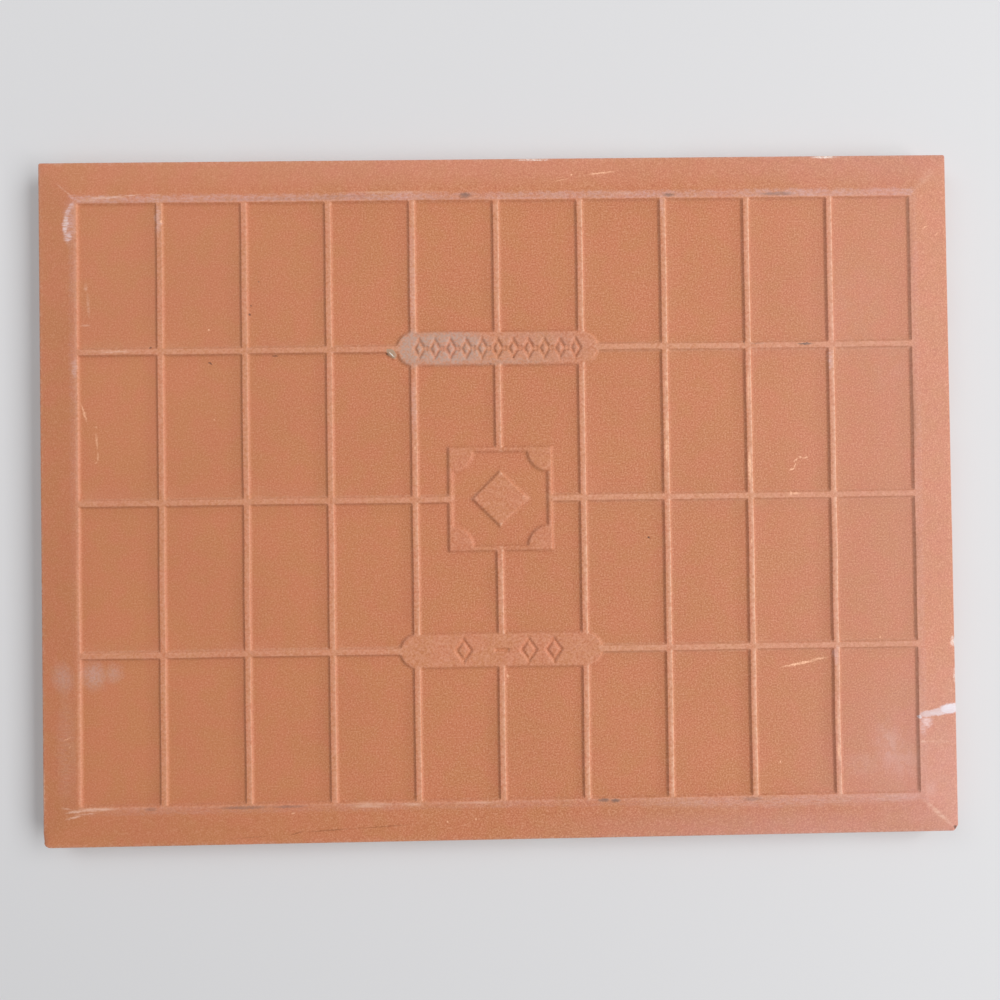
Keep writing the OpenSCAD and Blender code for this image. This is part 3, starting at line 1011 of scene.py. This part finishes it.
def marksWithin(group, west, east):
    # The group with only the marks that reach this length of the tile, with a margin for ragged ones
    margin = 3
    reaching = []
    for mark in group["marks"]:
        reach = max(mark[2:4]) + margin
        if west < mark[0] + reach and mark[0] - reach < east:
            reaching.append(mark)
    return {**group, "marks": reaching}


def layMarks(tree, place, colour, west, east):
    # Every group of marks over the clay, the dust only on raised tops
    rough, fine = (ragged(tree, place, *wearEdges[name]) for name in ("rough", "fine"))
    within = {name: marksWithin(group, west, east) for name, group in wearMarks.items()}
    for name, group in within.items():
        if not group["marks"]:
            continue
        grain = wearPatterns[group["pattern"]]
        stretched = onVector(tree, "MULTIPLY", place, grain + (1.0,))
        pattern = noise(tree, stretched, 1.0, detail=3.0, rough=0.6, space="2D")
        share = markShare(tree, rough if group["rough"] else fine, group, pattern)
        if name == "dust":
            share = times(tree, share, mask(tree, "tops"))
        colour = blendColours(tree, share, colour, paint(*group["colour"]))
    return colour


def layCrumb(tree, place, colour):
    # The stuck crumb, greyish, with a painted glint on one face
    x, y, halfLong, halfWide, turn = damage["crumb"][:5]
    crumb = {"edge": 0.3, "patch": 0.2, "marks": [(x, y, halfLong * 1.05, halfWide * 1.05, turn, 0.9)]}
    glint = {"edge": 0.6, "patch": 0.0, "marks": [(x + 0.15, y - 0.25, 0.95, 0.2, turn, 0.85)]}
    lumps = noise(tree, place, 1.0, space="2D")
    body, bright = markShare(tree, place, crumb, lumps), markShare(tree, place, glint, lumps)
    colour = blendColours(tree, body, colour, paint(*biscuitLook["crumb"]))
    return blendColours(tree, bright, colour, paint(*biscuitLook["glint"]))


glazeLook = {
    "colour": (232, 228, 217),
    "shade": 0.95,  # how dark its slow clouds get
    "cloudScale": 0.06,
    "cloudLevels": (0.3, 0.7),
    "roughness": 0.14,
    "ripple": 0.04,
    "rippleScale": 0.25,
    "reach": 1.0,  # how far the glaze runs up the sides
    "wave": 0.5,  # how much that varies
    "waveScale": 0.24,
    "waveLevels": (0.2, 0.8),
    "drips": 2.6,  # how much further it runs in places
    "dripScale": 0.1,
    "dripLevels": (0.5, 0.74),
    "runStretch": (1.0, 1.0, 0.12),
    "edge": 0.1,  # half the width over which the glaze ends
}


def glazeRuns(tree, place):
    # The glaze covers the side up to a wavy line, and further where a slow noise lets it run
    along = onVector(tree, "MULTIPLY", place, glazeLook["runStretch"])
    drips = noise(tree, along, glazeLook["dripScale"], detail=1.0)
    drips = spread(tree, drips, *glazeLook["dripLevels"], 0.0, glazeLook["drips"])
    low, high = glazeLook["reach"] - glazeLook["wave"], glazeLook["reach"] + glazeLook["wave"]
    wave = noise(tree, along, glazeLook["waveScale"], detail=1.0)
    wave = spread(tree, wave, *glazeLook["waveLevels"], low, high)
    height = addNode(tree, "SeparateXYZ", {0: place}).outputs[2]
    above = reckon(tree, "SUBTRACT", height, reckon(tree, "ADD", drips, wave))
    return spread(tree, above, glazeLook["edge"], -glazeLook["edge"])


def makeBiscuit(name, west, east):
    # Sandy clay, its wear with painted highlight, light and shade on the ribs, the marks on it, the
    # crumb, and glaze over the lowest part of the sides
    material, tree, shader, place = startMaterial(name)
    colour = clayGrain(tree, place, clayTone(tree, place))
    colour = topsWearAndPaintedLight(tree, place, colour)
    colour = wornRidge(tree, place, colour)
    colour = wornRim(tree, place, colour)
    colour = layMarks(tree, place, colour, west, east)
    if west < damage["crumb"][0] < east:
        colour = layCrumb(tree, ragged(tree, place, *wearEdges["crumb"]), colour)
    glazed = glazeRuns(tree, place)
    colour = blendColours(tree, glazed, colour, paint(*glazeLook["colour"]))
    tree.links.new(colour, shader.inputs["Base Color"])
    rough = spread(tree, glazed, 0.0, 1.0, biscuitLook["roughness"], glazeLook["roughness"])
    tree.links.new(rough, shader.inputs["Roughness"])
    grain = noise(tree, place, biscuitLook["grainScale"], rough=0.6)
    bare = reckon(tree, "SUBTRACT", 1.0, glazed)
    relief = {"Height": grain, "Strength": bare, "Distance": biscuitLook["grainHeight"] / metre}
    tree.links.new(addNode(tree, "Bump", relief).outputs[0], shader.inputs["Normal"])
    return material


def makeGlaze():
    # Plain glaze that darkens a little in slow clouds, with a faint ripple
    material, tree, shader, place = startMaterial("glaze")
    ripple = noise(tree, place, glazeLook["rippleScale"])
    clouds = noise(tree, place, glazeLook["cloudScale"], detail=3.0)
    clouds = spread(tree, clouds, *glazeLook["cloudLevels"])
    colour = shade(tree, clouds, paint(*glazeLook["colour"]), glazeLook["shade"])
    tree.links.new(colour, shader.inputs["Base Color"])
    shader.inputs["Roughness"].default_value = glazeLook["roughness"]
    relief = {"Height": ripple, "Strength": 1.0, "Distance": glazeLook["ripple"] / metre}
    bump = addNode(tree, "Bump", relief)
    tree.links.new(bump.outputs[0], shader.inputs["Normal"])
    return material


for number, (west, east) in enumerate(zip(clayZones[:-1], clayZones[1:]), 1):
    tileMesh.materials.append(makeBiscuit(f"biscuit_{number}", west, east))
tileMesh.materials.append(makeGlaze())
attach(tile, "root")
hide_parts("tile")
print("finishes: biscuit and glaze")


studio = {
    "floorSize": 1600.0,
    "floorColour": (222, 222, 224),
    "floorRoughness": 0.8,
    "skyStrength": 0.34,
    # how far away, degrees from +X towards +Y, degrees above the floor, width, height and watts
    "lamps": {
        "main_lamp": (1050.0, -1.0, 41.0, 1300.0, 450.0, 10.6),
        "fill_lamp": (600.0, 138.0, 45.0, 300.0, 300.0, 0.66),
    },
}


def makeFloor():
    half = studio["floorSize"] / 2 / metre
    mesh = bpy.data.meshes.new("floor")
    corners = [(-half, -half, 0), (half, -half, 0), (half, half, 0), (-half, half, 0)]
    mesh.from_pydata(corners, [], [(0, 1, 2, 3)])
    floor = bpy.data.objects.new("floor", mesh)
    bpy.context.scene.collection.objects.link(floor)
    material = bpy.data.materials.new("floor_paint")
    material.use_nodes = True
    shader = material.node_tree.nodes["Principled BSDF"]
    shader.inputs["Base Color"].default_value = paint(*studio["floorColour"])
    shader.inputs["Roughness"].default_value = studio["floorRoughness"]
    mesh.materials.append(material)


def makeLamp(name, away, bearing, height, wide, tall, watts):
    # A flat lamp that faces the tile's middle
    bearing, height = math.radians(bearing), math.radians(height)
    lamp = bpy.data.lights.new(name, "AREA")
    lamp.shape = "RECTANGLE"
    lamp.size = tall / metre
    lamp.size_y = wide / metre
    lamp.energy = watts
    holder = bpy.data.objects.new(name, lamp)
    level = math.cos(height)
    toLamp = (level * math.cos(bearing), level * math.sin(bearing), math.sin(height))
    holder.location = [part * away / metre for part in toLamp]
    holder.rotation_euler = (0, math.pi / 2 - height, bearing)
    bpy.context.scene.collection.objects.link(holder)


def makeLight():
    for name, values in studio["lamps"].items():
        makeLamp(name, *values)
    world = bpy.data.worlds.new("studio")
    world.use_nodes = True
    world.node_tree.nodes["Background"].inputs["Color"].default_value = (1, 1, 1, 1)
    world.node_tree.nodes["Background"].inputs["Strength"].default_value = studio["skyStrength"]
    bpy.context.scene.world = world


cameraPlace = {
    "lens": 27.25,
    "place": (-1.73, -2.24, 172.1),
    "turn": (0.602, -0.646, -0.835),  # degrees, from looking straight down
}


def makeCamera():
    data = bpy.data.cameras.new("camera")
    data.lens = cameraPlace["lens"]
    data.sensor_width = 36.0
    data.clip_start = 0.01
    camera = bpy.data.objects.new("camera", data)
    camera.location = [part / metre for part in cameraPlace["place"]]
    camera.rotation_euler = [math.radians(part) for part in cameraPlace["turn"]]
    bpy.context.scene.collection.objects.link(camera)
    bpy.context.scene.camera = camera


makeFloor()
makeLight()
makeCamera()
bpy.context.scene.view_settings.view_transform = "Standard"
print("studio: floor, lamps, sky and camera")
